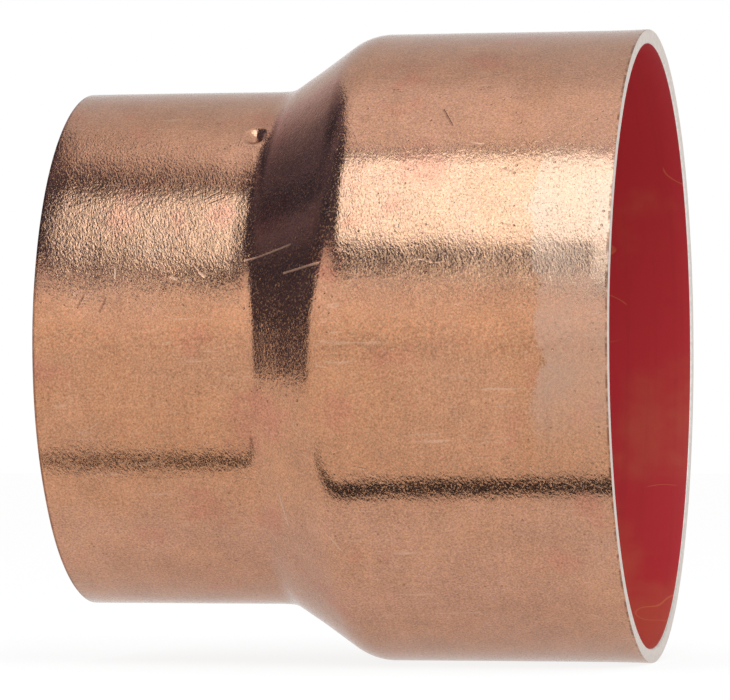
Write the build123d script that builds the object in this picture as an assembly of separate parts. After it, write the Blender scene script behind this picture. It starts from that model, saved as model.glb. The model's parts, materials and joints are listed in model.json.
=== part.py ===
from build123d import *
import math
import os

# A concentric reducer of copper, made from one length of tube: one end keeps the
# large diameter, the other is drawn down through a cone to the small one, and both
# ends are sized as sockets that a copper tube is soldered into.
#
# Millimetres. X is the axis of both sockets, +X out of the large one, and Z is up.
# The origin is the centre of the large mouth.

# Driving dimensions
large_tube_diameter = 108.0
small_tube_diameter = 88.9
solder_gap = 0.075
large_wall = 2.5
small_wall = 2.0
large_insertion = 47.5
small_insertion = 34.0
small_straight = 37.0
cone_angle = 35.0
shoulder_radius = 10.0
neck_radius = 5.1
neck_inner_radius = 7.1

# The large lip is very slightly belled by the trimming cut, and all four edges
# of the two end faces are broken.
lip_flare = 0.14
lip_flare_length = 9.0
outer_edge_round = 0.2
inner_edge_round = 0.6

# The small bore is sized with a plug only as deep as the tube goes. Behind that it
# keeps the slightly smaller bore of the drawn neck.
unsized_step = 0.15
sizing_runout = 1.2

# Two stakes, opposite each other, dent the small end next to its neck. Inside,
# each one is a bump that stops the tube.
stake_from_small_end = 35.8
stake_angles = (38.0, 218.0)
dent_radius = 2.0
dent_depth = 0.95
dent_straight = 1.4
bump_radius = 1.6
bump_height = 1.2
bump_straight = 1.6

# Worked out from the driving dimensions
large_bore = large_tube_diameter / 2 + solder_gap
small_bore = small_tube_diameter / 2 + solder_gap
large_body = large_bore + large_wall
small_body = small_bore + small_wall
shoulder_inner_radius = shoulder_radius - large_wall
stop_turn = math.acos(1 - solder_gap / shoulder_inner_radius)
large_straight = large_insertion - shoulder_inner_radius * math.sin(stop_turn)


def cone_points(large, small, shoulder, neck):
    """Where the shoulder starts, the cone starts, the cone ends and the neck ends."""
    turn = math.radians(cone_angle)
    shoulder_start = (-large_straight, large)
    cone_start = (
        -large_straight - shoulder * math.sin(turn),
        large - shoulder * (1 - math.cos(turn)),
    )
    cone_end_radius = small + neck * (1 - math.cos(turn))
    cone_end = (
        cone_start[0] - (cone_start[1] - cone_end_radius) / math.tan(turn),
        cone_end_radius,
    )
    neck_end = (cone_end[0] - neck * math.sin(turn), small)
    return shoulder_start, cone_start, cone_end, neck_end


outer_points = cone_points(large_body, small_body, shoulder_radius, neck_radius)
inner_points = cone_points(
    large_bore, small_bore - unsized_step, shoulder_inner_radius, neck_inner_radius
)
overall_length = small_straight - outer_points[-1][0]
stake_x = stake_from_small_end - overall_length


def cone_edges(points):
    """Shoulder arc, cone and neck arc, tangent to each other and to both sockets."""
    shoulder_start, cone_start, cone_end, neck_end = points
    return [
        TangentArc(shoulder_start, cone_start, tangent=(-1, 0)),
        Line(cone_start, cone_end),
        TangentArc(neck_end, cone_end, tangent=(1, 0)),
    ]


def wall_section():
    """The wall cut through the axis: X along the axis, Y away from it."""
    flare_start = (-lip_flare_length, large_body)
    large_lip = (0, large_body + lip_flare)
    large_mouth = (0, large_bore)
    small_lip = (-overall_length, small_body)
    small_mouth = (-overall_length, small_bore)
    sized_end = (small_insertion - overall_length, small_bore)
    runout_end = (sized_end[0] + sizing_runout, small_bore - unsized_step)
    section = make_face(
        [
            TangentArc(flare_start, large_lip, tangent=(1, 0)),
            Line(flare_start, outer_points[0]),
            *cone_edges(outer_points),
            Line(outer_points[-1], small_lip),
            Line(small_lip, small_mouth),
            Line(small_mouth, sized_end),
            Line(sized_end, runout_end),
            Line(runout_end, inner_points[-1]),
            *cone_edges(inner_points),
            Line(inner_points[0], large_mouth),
            Line(large_mouth, large_lip),
        ]
    )
    for corner, radius in (
        (large_lip, outer_edge_round),
        (large_mouth, inner_edge_round),
        (small_lip, outer_edge_round),
        (small_mouth, inner_edge_round),
    ):
        section = fillet(section.vertices().sort_by_distance(corner)[0], radius)
    return section


def stake(radius, straight, lowest):
    """The rounded end of a stake above the axis, its long way around the wall."""
    tip = Rot(X=90) * Cylinder(radius, straight)
    for side in (-1, 1):
        tip += Pos(0, side * straight / 2, 0) * Sphere(radius)
    return Pos(stake_x, 0, lowest + radius) * tip


def reducer_body():
    """The whole fitting: the wall turned about X, then staked twice."""
    body = revolve(Plane.XZ * wall_section(), axis=Axis.X, revolution_arc=360)
    bump = stake(bump_radius, bump_straight, small_bore - bump_height)
    dent = stake(dent_radius, dent_straight, small_body - dent_depth)
    for angle in stake_angles:
        body += Rot(X=angle) * bump
        body -= Rot(X=angle) * dent
    return body


os.makedirs("parts", exist_ok=True)
reducer = reducer_body()
reducer.label = "reducer_body"
export_step(reducer, "parts/reducer_body.step")
print("overall length", round(overall_length, 2))
print("large outside diameter", round(2 * large_body, 2))
print("small outside diameter", round(2 * small_body, 2))
print("stake centre", round(stake_x, 2))
print("inner neck ends", round(inner_points[-1][0], 2))
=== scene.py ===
import json
import math

import bmesh
import bpy
from mathutils import Matrix, Vector


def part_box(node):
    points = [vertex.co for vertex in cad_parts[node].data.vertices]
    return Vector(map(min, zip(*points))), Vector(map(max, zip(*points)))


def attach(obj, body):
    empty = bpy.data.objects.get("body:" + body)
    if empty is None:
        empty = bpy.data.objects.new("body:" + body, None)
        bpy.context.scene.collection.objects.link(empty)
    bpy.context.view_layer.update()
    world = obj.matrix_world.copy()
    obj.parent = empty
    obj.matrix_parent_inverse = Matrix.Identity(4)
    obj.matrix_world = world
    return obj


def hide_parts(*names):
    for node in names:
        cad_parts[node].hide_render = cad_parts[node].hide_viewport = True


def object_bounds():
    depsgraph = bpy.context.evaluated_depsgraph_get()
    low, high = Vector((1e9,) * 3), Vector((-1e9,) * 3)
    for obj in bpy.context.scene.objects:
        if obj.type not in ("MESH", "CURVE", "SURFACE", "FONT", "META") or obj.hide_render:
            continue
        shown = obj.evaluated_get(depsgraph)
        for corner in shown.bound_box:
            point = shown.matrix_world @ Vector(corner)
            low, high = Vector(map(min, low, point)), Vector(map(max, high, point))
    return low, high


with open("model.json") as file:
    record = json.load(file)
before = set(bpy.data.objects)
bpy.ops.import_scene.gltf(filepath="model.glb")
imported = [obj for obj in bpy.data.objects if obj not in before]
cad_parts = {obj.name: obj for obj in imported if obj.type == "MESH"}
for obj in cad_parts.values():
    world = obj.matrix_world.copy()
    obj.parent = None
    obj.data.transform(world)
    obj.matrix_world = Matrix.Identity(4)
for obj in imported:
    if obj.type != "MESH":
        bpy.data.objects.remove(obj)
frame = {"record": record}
cad_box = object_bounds()

# ---- The wall of the reducer ----------------------------------------------------------
# One length of drawn copper tube. One end keeps its diameter, the other is pressed down
# through a short cone, and both are sized as sockets for tube. Nothing is joined on.

mm = 0.001
mounts = {m["name"]: m["dims"] for m in frame["record"]["mounts"]}
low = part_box("reducer_body")[0]
large_bore = mounts["large_socket"]["r_mm"] * mm
small_bore = mounts["small_socket"]["r_mm"] * mm
large_wall = 2.5 * mm
small_wall = 2.0 * mm
large_straight = 46.44 * mm
shoulder_radius = 10.0 * mm
neck_radius = 5.1 * mm
cone_turn = math.radians(35)
unsized_step = 0.15 * mm
sized_depth = 34.0 * mm
sizing_runout = 1.2 * mm
staked_length = 3 * mm
lip_flare = 0.14 * mm
lip_flare_length = 9 * mm
outer_edge_round = 0.2 * mm
inner_edge_round = 0.6 * mm
neck_opening = 0.20 * mm
neck_opening_length = 5.6 * mm
steps_round = 640
hair = 0.01 * mm


def shape():
    """The mesh in edit mode."""
    return bmesh.from_edit_mesh(bpy.context.edit_object.data)


def pick(kind, test):
    """Selects the vertices, edges or faces of the mesh in edit mode that pass a test."""
    bpy.ops.mesh.select_mode(type=kind)
    bpy.ops.mesh.select_all(action="DESELECT")
    items = {"VERT": shape().verts, "EDGE": shape().edges, "FACE": shape().faces}[kind]
    for item in items:
        if not item.hide and test(item):
            item.select_set(True)
    shape().select_flush_mode()
    bmesh.update_edit_mesh(bpy.context.edit_object.data)


def across(edge):
    """True for an edge that crosses the wall from its outside to its bore."""
    a, b = (v.co for v in edge.verts)
    return abs(a.z - b.z) > 1.5 * mm and abs(a.x - b.x) < 1.5 * mm


def middle_x(edge):
    """How far along the axis the middle of an edge is."""
    return (edge.verts[0].co.x + edge.verts[1].co.x) / 2


def pick_end():
    """Selects the edge across the wall where it grows next."""
    end = min(middle_x(e) for e in shape().edges if across(e))
    pick("EDGE", lambda e: across(e) and middle_x(e) < end + hair)


def touches(edge, places):
    """True for an edge that has an end at one of the places."""
    return any((v.co - place).length < hair for v in edge.verts for place in places)


def grow(along, up=0.0, cuts=0, thinner=0.0):
    """Extrudes the end of the wall by that much and cuts the new length into equal steps."""
    pick_end()
    bpy.ops.mesh.extrude_region_move(TRANSFORM_OT_translate={"value": (along, 0, up)})
    pick_end()
    outer, inner = sorted((v for v in shape().verts if v.select), key=lambda v: -v.co.z)
    inner.co += (outer.co - inner.co).normalized() * thinner
    corners = (outer.co.copy(), inner.co.copy())
    pick("EDGE", lambda e: not across(e) and touches(e, corners))
    if cuts:
        bpy.ops.mesh.subdivide(number_cuts=cuts)


def bend(centre_x, centre_z, turn, steps):
    """Spins the end of the wall round a centre."""
    pick_end()
    bpy.ops.mesh.spin(
        steps=steps, angle=turn, center=(centre_x, 0, centre_z), axis=(0, 1, 0)
    )


bpy.ops.object.select_all(action="DESELECT")
bpy.ops.mesh.primitive_plane_add(
    size=1,
    location=(-large_straight / 2, 0, large_bore + large_wall / 2),
    rotation=(math.pi / 2, 0, 0),
)
reducer = bpy.context.object
reducer.name = reducer.data.name = "copper_reducer"
reducer.scale = (large_straight, large_wall, 1)
bpy.ops.object.transform_apply(location=True, rotation=True, scale=True)
bpy.ops.object.mode_set(mode="EDIT")
pick("EDGE", lambda e: not across(e))
bpy.ops.mesh.subdivide(number_cuts=12)
bend(-large_straight, large_bore + large_wall - shoulder_radius, cone_turn, 10)
cone_top = large_bore + large_wall - shoulder_radius * (1 - math.cos(cone_turn))
cone_foot = small_bore + small_wall + neck_radius * (1 - math.cos(cone_turn))
cone_along = (cone_top - cone_foot) / math.tan(cone_turn)
neck_wall = small_wall + unsized_step
grow(-cone_along, cone_foot - cone_top, 4, large_wall - neck_wall)
neck_x = -large_straight - (shoulder_radius + neck_radius) * math.sin(cone_turn) - cone_along
bend(neck_x, small_bore + small_wall + neck_radius, -cone_turn, 8)
sizing_end = low.x + sized_depth + sizing_runout
grow(sizing_end - neck_x, 0, 5)
grow(-sizing_runout, 0, 3, unsized_step)
grow(-staked_length, 0, 8)
grow(staked_length - sized_depth, 0, 6)

# The lips: the large one is belled a little, and all four edges are broken.


def on_bore_side(vertex):
    """True on the bore side of the wall of either socket."""
    in_large_socket = vertex.co.x > -large_straight
    return vertex.co.z < (large_bore + hair if in_large_socket else small_bore + small_wall / 2)


pick("VERT", on_bore_side)
bpy.ops.mesh.hide()
pick("VERT", lambda v: v.co.x > -hair)
bpy.ops.transform.translate(
    value=(0, 0, lip_flare),
    use_proportional_edit=True,
    proportional_edit_falloff="SHARP",
    proportional_size=lip_flare_length,
)

# The neck starts to open a little before its bend.
cone_end = neck_x + neck_radius * math.sin(cone_turn)
pick("VERT", lambda v: abs(v.co.x - cone_end) < hair and v.co.z > small_bore + small_wall / 2)
bpy.ops.transform.translate(
    value=(0, 0, neck_opening),
    use_proportional_edit=True,
    proportional_edit_falloff="SMOOTH",
    proportional_size=neck_opening_length,
)
bpy.ops.mesh.reveal(select=False)
outer_lips = (
    Vector((0, 0, large_bore + large_wall + lip_flare)),
    Vector((low.x, 0, small_bore + small_wall)),
)
inner_lips = (Vector((0, 0, large_bore)), Vector((low.x, 0, small_bore)))
for corners, size in ((outer_lips, outer_edge_round), (inner_lips, inner_edge_round)):
    pick("VERT", lambda v: any((v.co - corner).length < hair for corner in corners))
    bpy.ops.mesh.bevel(affect="VERTICES", offset=size, segments=4)

# Only its outline is kept and turned round the axis.
pick("FACE", lambda f: True)
bpy.ops.mesh.region_to_loop()
bpy.ops.mesh.select_mode(type="EDGE")
bpy.ops.mesh.select_all(action="INVERT")
bpy.ops.mesh.delete(type="EDGE")
bpy.ops.mesh.select_all(action="SELECT")
bpy.ops.object.mode_set(mode="OBJECT")
turned = reducer.modifiers.new("turned", "SCREW")
turned.axis = "X"
turned.steps = turned.render_steps = steps_round
turned.use_merge_vertices = True
turned.merge_threshold = 0.001 * mm
bpy.ops.object.modifier_apply(modifier=turned.name)
bpy.ops.object.mode_set(mode="EDIT")
bpy.ops.mesh.select_all(action="SELECT")
bpy.ops.mesh.remove_doubles(threshold=0.001 * mm)
bpy.ops.mesh.normals_make_consistent(inside=False)
bpy.ops.object.mode_set(mode="OBJECT")

# Drawing and sizing leave the wall very slightly out of true, always inwards here.
unevenness = bpy.data.textures.new("unevenness", "CLOUDS")
unevenness.noise_scale = 17 * mm
unevenness.noise_depth = 1
uneven = reducer.modifiers.new("uneven", "DISPLACE")
uneven.texture = unevenness
uneven.texture_coords = "LOCAL"
uneven.mid_level = 1.0
uneven.strength = 0.09 * mm
bpy.ops.object.modifier_apply(modifier=uneven.name)

# ---- The two stakes ---------------------------------------------------------------------
# Opposite each other and next to the neck, a punch dents the small socket. Outside, each
# is a small dimple with a raised rim. Inside, it is a bump that stops the tube.

stake_from_small_end = 35.8 * mm
stake_x = low.x + stake_from_small_end
stake_angles = (math.radians(38), math.radians(218))
stake_rim = 0.26 * mm
stake_rim_spread = 3.8 * mm
dent_depth = 1.05 * mm
dent_spread = 2.3 * mm
bump_height = 1.2 * mm
bump_spread = 2.4 * mm


def push(test, amount, spread, way):
    """Moves what passes the test along a direction, with its neighbours out to the spread."""
    pick("VERT", test)
    bpy.ops.transform.translate(
        value=way * amount,
        use_proportional_edit=True,
        proportional_edit_falloff="SMOOTH",
        proportional_size=spread,
    )


bpy.ops.object.mode_set(mode="EDIT")
for angle in stake_angles:
    out = Vector((0, -math.sin(angle), math.cos(angle)))
    around = Vector((0, math.cos(angle), math.sin(angle)))
    for surface, sign in ((small_bore + small_wall, 1), (small_bore, -1)):
        wall_middle = small_bore + small_wall / 2
        pick("VERT", lambda v: (math.hypot(v.co.y, v.co.z) - wall_middle) * sign < 0)
        bpy.ops.mesh.hide()
        centre = Vector((stake_x, 0, 0)) + out * surface

        def struck(v):
            away = v.co - centre
            in_line = abs(away.x) < 0.1 * mm and abs(away.dot(around)) < 0.7 * mm
            return in_line and abs(away.dot(out)) < mm

        if sign > 0:
            pick("FACE", lambda f: (f.calc_center_median() - centre).length < 4 * mm)
            bpy.ops.mesh.subdivide(number_cuts=1)
            push(struck, stake_rim, stake_rim_spread, out)
            push(struck, -dent_depth, dent_spread, out)
        else:
            push(struck, -bump_height, bump_spread, out)
        bpy.ops.mesh.reveal(select=False)
bpy.ops.object.mode_set(mode="OBJECT")

# ---- The copper's finishes ----------------------------------------------------------------
# Outside, drawn copper with a fine grain, faint rings left by the dies, light tarnish, a painted
# warm reflection along the front and painted shade along the small trimmed edge. The bore is a dull
# deep red with painted shade inside the cone, and the trimmed ends are bare bright copper.


class Wire:
    """One socket in a material. Sums on it add Math nodes, and node() adds any other."""

    def __init__(self, tree, socket=None):
        self.tree = tree
        self.socket = socket

    def node(self, kind, settings=(), sockets=(), out=0):
        """Adds a node and gives one of its outputs, or nothing where it has none."""
        made = self.tree.nodes.new(kind)
        for name, value in dict(settings).items():
            setattr(made, name, value)
        for key, value in dict(sockets).items():
            if isinstance(value, Wire):
                self.tree.links.new(value.socket, made.inputs[key])
            else:
                made.inputs[key].default_value = value
        return Wire(self.tree, made.outputs[out]) if made.outputs else None

    def beside(self, out):
        """Another output of the node that this wire comes from."""
        return Wire(self.tree, self.socket.node.outputs[out])

    def maths(self, operation, *others):
        sockets = dict(enumerate((self, *others)))
        return self.node("ShaderNodeMath", {"operation": operation}, sockets)

    def __add__(self, other):
        return self.maths("ADD", other)

    def __sub__(self, other):
        return self.maths("SUBTRACT", other)

    def __rsub__(self, other):
        sockets = {0: other, 1: self}
        return self.node("ShaderNodeMath", {"operation": "SUBTRACT"}, sockets)

    def __mul__(self, other):
        return self.maths("MULTIPLY", other)

    __radd__ = __add__
    __rmul__ = __mul__

    def clamp(self):
        return self.maths("MAXIMUM", 0.0).maths("MINIMUM", 1.0)

    def step(self, start, end):
        """0 below start, 1 above end and smooth between, or the other way round."""
        settings = {"interpolation_type": "SMOOTHSTEP"}
        if start > end:
            return 1 - self.step(end, start)
        return self.node("ShaderNodeMapRange", settings, {0: self, 1: start, 2: end})

    def dye(self, under, over):
        """Two colours or colour wires, mixed by this wire: 0 is under and 1 is over."""
        sockets = {"Factor": self, 6: shade(under), 7: shade(over)}
        return self.node("ShaderNodeMix", {"data_type": "RGBA"}, sockets, 2)


def shade(colour):
    """A colour as a socket takes it, and a wire as it is."""
    return colour if isinstance(colour, Wire) else (*colour, 1)


def start_finish(name):
    """A new empty material, a first wire in it, and Object coordinates in metres."""
    material = bpy.data.materials.new(name)
    material.use_nodes = True
    material.node_tree.nodes.clear()
    blank = Wire(material.node_tree)
    return material, blank, blank.node("ShaderNodeTexCoord", out=3)


def parted(place):
    """The three parts of a place or a direction."""
    x = place.node("ShaderNodeSeparateXYZ", (), {0: place})
    return x, x.beside(1), x.beside(2)


def stretched(place, along, around, skew=0.0):
    """Object coordinates turned to cells per metre along the axis and around it."""
    x, y, z = parted(place)
    sockets = {0: (x - z * skew) * along, 1: y * around, 2: z * around}
    return place.node("ShaderNodeCombineXYZ", (), sockets)


def clouds(place, scale=1.0, detail=2.0, roughness=0.5):
    """Noise from 0 to 1 over a place."""
    sockets = {"Vector": place, "Scale": scale, "Detail": detail, "Roughness": roughness}
    return place.node("ShaderNodeTexNoise", (), sockets)


def spots(place, scale):
    """The distance to the nearest of a field of scattered points, in cells."""
    return place.node("ShaderNodeTexVoronoi", (), {"Vector": place, "Scale": scale})


unrolled_radius = 50 * mm
mark_width = 0.25 * mm
mark_core = 0.1 * mm


def unrolled(place):
    """The outside laid flat: metres along the axis, and metres round it at one radius."""
    x, y, z = parted(place)
    around = z.maths("ARCTAN2", y * -1) * unrolled_radius
    return place.node("ShaderNodeCombineXYZ", (), {0: x, 1: around})


def flat_point(along, turn):
    """A point of the unrolled outside, from millimetres from the mouth and degrees of rise."""
    return Vector((-along * mm, math.radians(turn) * unrolled_radius, 0))


def mark(flat, start, end):
    """1 on a thin line between two points of the unrolled outside, and 0 off it."""
    start, end = flat_point(*start), flat_point(*end)
    apart = flat.node("ShaderNodeVectorMath", {"operation": "SUBTRACT"}, {0: flat, 1: start})
    unit = (end - start) / (end - start).length_squared
    share = flat.node("ShaderNodeVectorMath", {"operation": "DOT_PRODUCT"}, {0: apart, 1: unit}, 1)
    sockets = {0: end - start, "Scale": share.clamp()}
    foot = flat.node("ShaderNodeVectorMath", {"operation": "SCALE"}, sockets)
    away = flat.node("ShaderNodeVectorMath", {"operation": "DISTANCE"}, {0: apart, 1: foot}, 1)
    return away.step(mark_width, mark_core)


def marks(flat, lines):
    """All the lines of a list of starts and ends."""
    return sum(mark(flat, *line) for line in lines).maths("MINIMUM", 1.0)


def hairs(place, scale, thin, seldom):
    """Thin wandering lines, here and there."""
    line = (clouds(place, scale, 1.0, 0.4) - 0.5).maths("ABSOLUTE").step(thin, thin * 0.3)
    return line * clouds(place, scale * 0.6 + 7, 1.0, 0.5).step(seldom, seldom + 0.04)


def finish(blank, colour, roughness, height, metallic=1.0, coat=0.0, specular=0.5):
    """Joins colour, roughness and a height in metres to the shader and the output."""
    bump = blank.node("ShaderNodeBump", (), {"Strength": 1.0, "Distance": 1.0, "Height": height})
    sockets = {"Base Color": colour, "Roughness": roughness, "Metallic": metallic, "Normal": bump}
    sockets |= {"Coat Weight": coat, "Coat Roughness": 0.2, "Specular IOR Level": specular}
    sockets |= {"Specular Tint": (0.80, 0.74, 0.70, 1)}
    shader = blank.node("ShaderNodeBsdfPrincipled", (), sockets)
    blank.node("ShaderNodeOutputMaterial", (), {"Surface": shader})


material, blank, place = start_finish("drawn_copper")
x, y, z = parted(place)
grain = clouds(stretched(place, 2600, 1500, -0.25), 1.0, 2.0, 0.6)
coarse = clouds(place, 260, 2.0, 0.5)
blotch = clouds(place, 45, 4.0, 0.6)
patchy = clouds(place, 130, 3.0, 0.6)
rings = clouds(stretched(place, 900, 14), 1.0, 3.0, 0.6)
fine = clouds(place, 3000, 1.0, 0.6)
flecks = clouds(stretched(place, 3300, 2700), 1.0, 1.0, 0.6)

pink = (0.505, 0.252, 0.180)
orange = (0.494, 0.208, 0.104)
yellow = (0.51, 0.260, 0.140)
red = (0.50, 0.19, 0.12)
rubbed = (0.51, 0.34, 0.265)
bared = (0.66, 0.42, 0.30)
brown = (0.17, 0.06, 0.03)

# Painted reflection: a band along the front is orange and stands in for a warm reflection there.
# Light tarnish adds orange blotches, and the rest is pink, mottled all over.
wavy_height = z + (blotch - 0.5) * 40 * mm
# Painted reflection: this orange band on the front only stands in for a warm reflection, not
# tarnish.
front_warm_reflection = wavy_height.step(-32 * mm, -20 * mm) * z.step(14 * mm, 0.0) * y.step(0.0, -20 * mm)
colour = (front_warm_reflection * 0.75 + blotch.step(0.62, 0.40) * 0.35).maths("MINIMUM", 1.0).dye(pink, orange)
colour = ((flecks - 0.5) * 3 + 0.5).clamp().dye(colour, yellow)
red_patch = clouds(place, 70, 3.0, 0.6).step(0.56, 0.70)
colour = (red_patch * 0.6).dye(colour, red)
mottle = (fine - 0.5) * 1.25 + (patchy - 0.5) * 0.42 + (rings - 0.5) * 0.16 + 1.0
colour = colour.node("ShaderNodeVectorMath", {"operation": "SCALE"}, {0: colour, "Scale": mottle})

# The last 14 mm before the large mouth are rubbed paler, most of all along the front
mouth_edge = (x + (blotch - 0.5) * 16 * mm + (fine - 0.5) * 2 * mm).step(-14 * mm, -13 * mm)
along_front = z.step(-22 * mm, -6 * mm) * z.step(36 * mm, 26 * mm) * y.step(0.0, -30 * mm)
near_mouth = mouth_edge * (0.12 + 0.88 * along_front) * (1.3 - patchy)
colour = (near_mouth * 0.5).dye(colour, rubbed)

# Scuffs and scratches. Each line goes from one place to another, given as millimetres from
# the large mouth and degrees up from the front.
scuffs = clouds(stretched(place, 90, 900, 0.6), 1.0, 3.0, 0.6).step(0.60, 0.74)
scuffs = scuffs * clouds(place, 55, 2.0, 0.5).step(0.48, 0.60)
scratches = hairs(stretched(place, 60, 130, 0.5), 1.0, 0.006, 0.54)
flat = unrolled(place)
pale_marks = marks(flat, (
    ((65, 17.5), (56, 18.5)),
    ((57, 13), (50, 13.5)),
    ((88, 16), (88, 14)),
    ((78, 14), (77, 13.5)),
    ((73, 15), (72, 14)),
    ((50, -37), (48.5, -39.5)),
    ((59.5, -32), (58.5, -39)),
))
dark_marks = marks(flat, (
    ((73.5, 32.5), (71, 34.5)),
    ((72.5, 31.5), (70, 33)),
    ((93.5, 10), (94.5, 7.5)),
    ((89.5, 9.5), (90.5, 6.5)),
    ((31, 45), (29, 41)),
))
pale = (pale_marks * 0.75 + scratches * 0.30 + scuffs * 0.5).maths("MINIMUM", 1.0)
colour = pale.dye(colour, bared)
pits = spots(place, 700).step(0.20, 0.10) * clouds(place, 300, 2.0, 0.6).step(0.54, 0.60)
colour = (pits * 0.45).dye(colour, brown)

# Painted shade: a dark line along the small trimmed edge stands in for its shaded outline, and dark
# nicks lie along the large edge
nicked = clouds(stretched(place, 200, 420), 1.0, 3.0, 0.7).step(0.40, 0.60)
at_large_edge = x.step(-0.55 * mm, -0.4 * mm) * nicked
# Painted shade: a nearly unbroken dark line at the small end, standing in for the edge's shaded
# outline.
painted_small_edge_shade = x.step(low.x + 0.55 * mm, low.x + 0.35 * mm) * (0.6 + nicked * 0.4)
edge_shade_and_nicks = at_large_edge + painted_small_edge_shade
colour = (edge_shade_and_nicks * 0.75 + dark_marks * 0.5).maths("MINIMUM", 1.0).dye(colour, brown)

# The end that was pressed down is rougher than the large one
pressed = x.step(-46 * mm, -58 * mm) * (0.35 + 0.65 * x.step(-66 * mm, -84 * mm))
height = (
    (grain - 0.5) * (0.036 + pressed * 0.030) * mm
    + (coarse - 0.5) * (0.060 + pressed * 0.030) * mm
    + (rings - 0.5) * 0.003 * mm
    - pits * 0.045 * mm
    - edge_shade_and_nicks * 0.03 * mm
    - (pale_marks + dark_marks + scratches * 0.3) * 0.03 * mm
)
roughness = 0.10 + flecks.step(0.55, 0.66) * 0.28 + near_mouth * 0.05 + pale_marks * 0.35
finish(blank, colour, roughness, height, coat=0.4)
reducer.data.materials.append(material)

material, blank, place = start_finish("dull_red_bore")
x, _, z = parted(place)
dull_red = (0.43, 0.026, 0.033)
stained_red = (0.46, 0.085, 0.047)
dark_red = (0.27, 0.022, 0.022)
straw = (0.62, 0.20, 0.08)
blotch = clouds(place, 35, 4.0, 0.6)
fine = clouds(place, 1500, 2.0, 0.6)
stain = (blotch - z * 4).step(0.52, 0.72)
colour = (stain * 0.6).dye(dull_red, stained_red)
drawn_rings = clouds(stretched(place, 500, 12), 1.0, 3.0, 0.6).step(0.50, 0.70)
# Painted shade: the inside of the cone is painted darker red as its shading, and the faint drawing
# rings darken it a little too.
painted_cone_shade = x.step(-44 * mm, -50 * mm) * x.step(-69 * mm, -65 * mm)
colour = ((painted_cone_shade + drawn_rings * 0.3) * 0.55).maths("MINIMUM", 1.0).dye(colour, dark_red)
fluff = hairs(place, 70, 0.006, 0.56)
colour = (fluff * 0.4).dye(colour, straw)
height = (fine - 0.5) * 0.02 * mm
finish(blank, colour, 0.46 + (fine - 0.5) * 0.1, height, 0.0, specular=0.2)
reducer.data.materials.append(material)

material, blank, place = start_finish("bare_trimmed_copper")
rub = clouds(stretched(place, 300, 900), 1.0, 2.0, 0.6)
grey_copper = (0.68, 0.63, 0.60)
bright_copper = (0.78, 0.74, 0.70)
colour = rub.step(0.35, 0.65).dye(grey_copper, bright_copper)
height = (rub - 0.5) * 0.02 * mm
finish(blank, colour, 0.3 + rub * 0.1, height)
reducer.data.materials.append(material)

bpy.ops.object.mode_set(mode="EDIT")


def is_bore(face):
    """True on a face that looks towards the axis."""
    centre = face.calc_center_median()
    return face.normal.dot(Vector((0, centre.y, centre.z))) < 0


def is_end(face):
    """True on a trimmed end face and on the broken edge inside it."""
    along = face.calc_center_median().x
    at_large = along > -outer_edge_round and face.normal.x > 0.8
    at_small = along < low.x + outer_edge_round and face.normal.x < -0.8
    at_either = along > -mm or along < low.x + mm
    on_inner_edge = is_bore(face) and abs(face.normal.x) > 0.45 and at_either
    return at_large or at_small or on_inner_edge


for slot, test in ((1, is_bore), (2, is_end)):
    pick("FACE", test)
    bpy.context.object.active_material_index = slot
    bpy.ops.object.material_slot_assign()
bpy.ops.object.mode_set(mode="OBJECT")
bpy.ops.object.shade_smooth()

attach(reducer, "root")
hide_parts("reducer_body")

# ---- The floor, the backdrop and the lights ---------------------------------------------
# A pale sweep, white light from all round, one large soft box high at the front, and
# a dark cloth high at the left that gives the copper its dark reflections.

bpy.ops.mesh.primitive_plane_add(size=40, location=(0, 0, low.z))
floor = bpy.context.object
floor.name = "floor"
material, blank, place = start_finish("pale_floor")
camera_ray = blank.node("ShaderNodeLightPath")
glossy_ray = camera_ray.beside("Is Glossy Ray")
clear_ray = camera_ray.beside("Is Transmission Ray")
seen = camera_ray * 0.85 + glossy_ray * 0.70 + clear_ray * 0.85
paper = blank.node("ShaderNodeBsdfDiffuse", (), {"Color": (0.82, 0.82, 0.81, 1)})
glow = blank.node("ShaderNodeEmission", (), {"Color": (1, 1, 1, 1), "Strength": 1.02})
mixed = blank.node("ShaderNodeMixShader", (), {0: seen, 1: paper, 2: glow})
blank.node("ShaderNodeOutputMaterial", (), {"Surface": mixed})
material.cycles.emission_sampling = "NONE"
floor.data.materials.append(material)

# White all round, a little brighter low at the front and duller behind
world = bpy.data.worlds.new("white_studio")
bpy.context.scene.world = world
world.use_nodes = True
white = world.node_tree.nodes["Background"]
white.inputs["Color"].default_value = (1, 1, 1, 1)
back, up = parted(Wire(world.node_tree).node("ShaderNodeTexCoord"))[1:]
duller = back.step(0.05, 0.55) * up.step(0.10, 0.35) * 0.22
brighter = back.step(0.0, -0.6) * up.step(0.02, 0.09) * up.step(0.42, 0.33) * 0.22
overhead = up.step(0.90, 0.97) * 0.14
camera_ray = up.node("ShaderNodeLightPath")
level = (brighter + overhead - duller) * (1 - camera_ray) + 1.0
world.node_tree.links.new(level.socket, white.inputs["Strength"])

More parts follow.
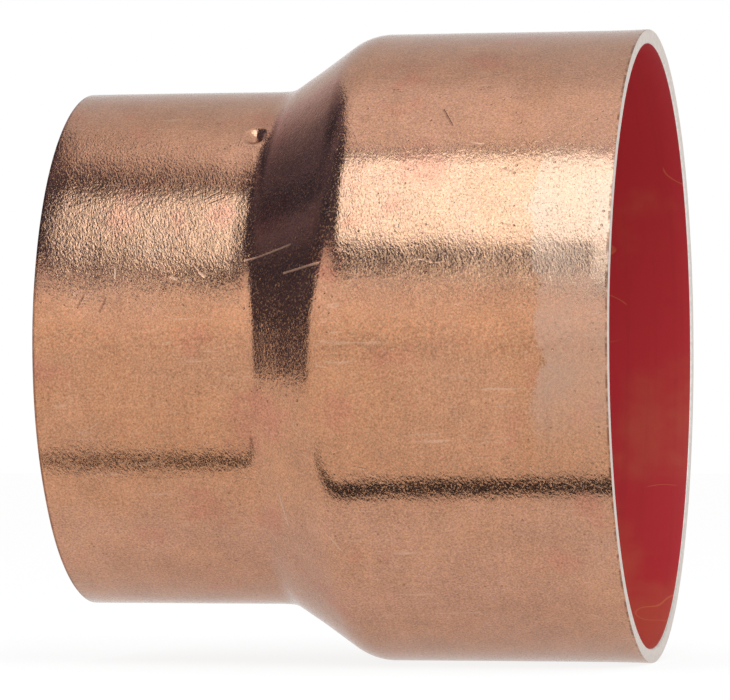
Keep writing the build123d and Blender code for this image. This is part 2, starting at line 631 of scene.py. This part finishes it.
# The soft box, with a black skirt round it that hangs lower at the front
box_corner = Vector((-0.338, -0.937, 0.669))
yaw, tilt, lean = math.radians(-14.8), math.radians(32.4), math.radians(7.4)
flat = Vector((math.cos(yaw), math.sin(yaw), 0))
rise = Vector((-math.sin(yaw) * math.cos(tilt), math.cos(yaw) * math.cos(tilt), math.sin(tilt)))
box_along = flat * math.cos(lean) + rise * math.sin(lean)
box_up = rise * math.cos(lean) - flat * math.sin(lean)
box_away = box_along.cross(box_up)
box_width, box_height = 1.3, 0.67
box_light = bpy.data.lights.new("soft_box", "AREA")
box_light.shape = "RECTANGLE"
box_light.size = box_width
box_light.size_y = box_height
box_light.color = (0.78, 0.96, 1.0)
box_glow = 2.95
box_light.energy = box_glow * math.pi * box_width * box_height
soft_box = bpy.data.objects.new("soft_box", box_light)
bpy.context.scene.collection.objects.link(soft_box)
box_turn = Matrix((box_along, box_up, box_away)).transposed().to_4x4()
box_centre = box_corner + box_along * box_width / 2 + box_up * box_height / 2
soft_box.matrix_world = Matrix.Translation(box_centre) @ box_turn
soft_box.visible_camera = False


def hang(name, points, colour, faces=None, fade=None, folds=None):
    """A plain sheet of the studio that shows only in the copper."""
    mesh = bpy.data.meshes.new(name)
    mesh.from_pydata(points, [], faces or [tuple(range(len(points)))])
    sheet = bpy.data.objects.new(name, mesh)
    bpy.context.scene.collection.objects.link(sheet)
    material, blank, place = start_finish(name)
    if folds:
        colour = clouds(place, 22, 3.0, 0.7).step(0.42, 0.62).dye(colour, folds)
    if fade:
        heart, far, near, heart_colour = fade
        sockets = {0: place, 1: heart}
        away = place.node("ShaderNodeVectorMath", {"operation": "DISTANCE"}, sockets, 1)
        colour = away.step(far, near).dye(colour, heart_colour)
    glow = blank.node("ShaderNodeEmission", (), {"Color": shade(colour), "Strength": 1.0})
    blank.node("ShaderNodeOutputMaterial", (), {"Surface": glow})
    material.cycles.emission_sampling = "NONE"
    sheet.data.materials.append(material)
    sheet.visible_camera = False
    sheet.visible_diffuse = False
    return sheet


def in_box_plane(outline, behind=0.0):
    """Points on the plane of the soft box, from how far along it and up it they are."""
    return [box_corner + box_along * s + box_up * t + box_away * behind for s, t in outline]


skirt = (
    (-0.24, -0.06), (-0.02, -0.21), (0.03, -0.27), (0.12, -0.31), (0.17, -0.5), (1.3, -0.5),
    (1.36, 0.73), (0.0, 0.725), (-0.03, 0.70), (-0.05, 0.72), (-0.075, 0.765), (-0.24, 0.79),
)
hang("soft_box_skirt", in_box_plane(skirt, 0.02), (0.08, 0.08, 0.12))

# Its left end fades out along a slant, and a white apron hangs from its lower edge
wing = ((-0.24, -0.02), (0.0, -0.02), (0.0, 0.66), (-0.05, 0.63), (-0.24, 0.60))
wing_heart = in_box_plane([(2.9, 0.86)])[0]
wing_fade = (wing_heart, 3.02, 2.94, (2.4, 2.85, 3.0))
hang("soft_box_wing", in_box_plane(wing), (0.08, 0.09, 0.13), fade=wing_fade)
apron = ((0.15, 0.0), (0.16, -0.20), (0.175, -0.40), (0.5, -0.40), (0.5, 0.0))
hang("soft_box_apron", in_box_plane(apron, 0.005), (1.7, 2.1, 2.2))

# The dark cloth hangs on the left, on a hoop around the object. Its edge is given in degrees
# of turn from the front and of rise, and its far end catches some light.
cloth_edge = [
    (-70, -8), (-67, 5), (-49, 20), (-40, 30), (-23, 27), (-16, 23), (-16, 33), (-27, 44),
    (-46, 60), (-35, 68), (-60, 72), (-114, 66), (-146, 36), (-148, 22), (-104, -4), (-98, -8),
]
cloth_distance = 0.38
middle = (cad_box[0] + cad_box[1]) / 2


def aim(azimuth, elevation):
    """The direction that turns from the front by azimuth and rises by elevation."""
    a, e = math.radians(azimuth), math.radians(elevation)
    return Vector((math.sin(a) * math.cos(e), -math.cos(a) * math.cos(e), math.sin(e)))


edge_parts = 6
hem = []
for (a0, e0), (a1, e1) in zip(cloth_edge, cloth_edge[1:] + cloth_edge[:1]):
    for part in range(edge_parts):
        share = part / edge_parts
        hem.append(aim(a0 + (a1 - a0) * share, e0 + (e1 - e0) * share))
cloth_centre = aim(-78, 40)
points, faces = [], []
shares = (1.0, 0.8, 0.6, 0.4, 0.2)
for share in shares:
    for way in hem:
        points.append(middle + cloth_centre.lerp(way, share).normalized() * cloth_distance)
count = len(hem)
for ring in range(len(shares) - 1):
    for i in range(count):
        j = (i + 1) % count
        outer, inner = ring * count, (ring + 1) * count
        faces.append((outer + i, outer + j, inner + j, inner + i))
faces.append(tuple((len(shares) - 1) * count + i for i in range(count)))
cloth_fade = (middle + aim(-152, 26) * cloth_distance, 0.27, 0.0, (0.85, 0.78, 0.84))
cloth_folds = (0.20, 0.18, 0.25)
hang("dark_cloth", points, (0.04, 0.052, 0.088), faces, cloth_fade, cloth_folds)

# A dark batten that lies in front of the object and shows only as a line low in the copper
batten = (
    (-0.125, -0.0655), (-0.09, -0.0640), (-0.045, -0.0690), (0.02, -0.0720),
    (0.02, -0.0815), (-0.045, -0.0785), (-0.09, -0.0725), (-0.125, -0.0735),
)
batten_top = low.z + 0.3 * mm
line = hang("dark_batten", [Vector((*corner, batten_top)) for corner in batten], (0.04, 0.04, 0.05))
line.visible_shadow = False

# ---- The camera ---------------------------------------------------------------------------
# A long lens a little to the right of the front and level with the axis, with all of its
# depth sharp.

camera = bpy.data.cameras.new("camera")
camera.lens = 238.26
camera.sensor_width = 36
camera.clip_end = 60
camera_object = bpy.data.objects.new("camera", camera)
bpy.context.scene.collection.objects.link(camera_object)
camera_object.location = (0.11754, -0.85891, -0.02135)
camera_tilt, camera_turn = 0.02387, 0.19567
camera_object.rotation_euler = (math.pi / 2 + camera_tilt, 0, camera_turn)
bpy.context.scene.camera = camera_object
bpy.context.scene.view_settings.view_transform = "Standard"
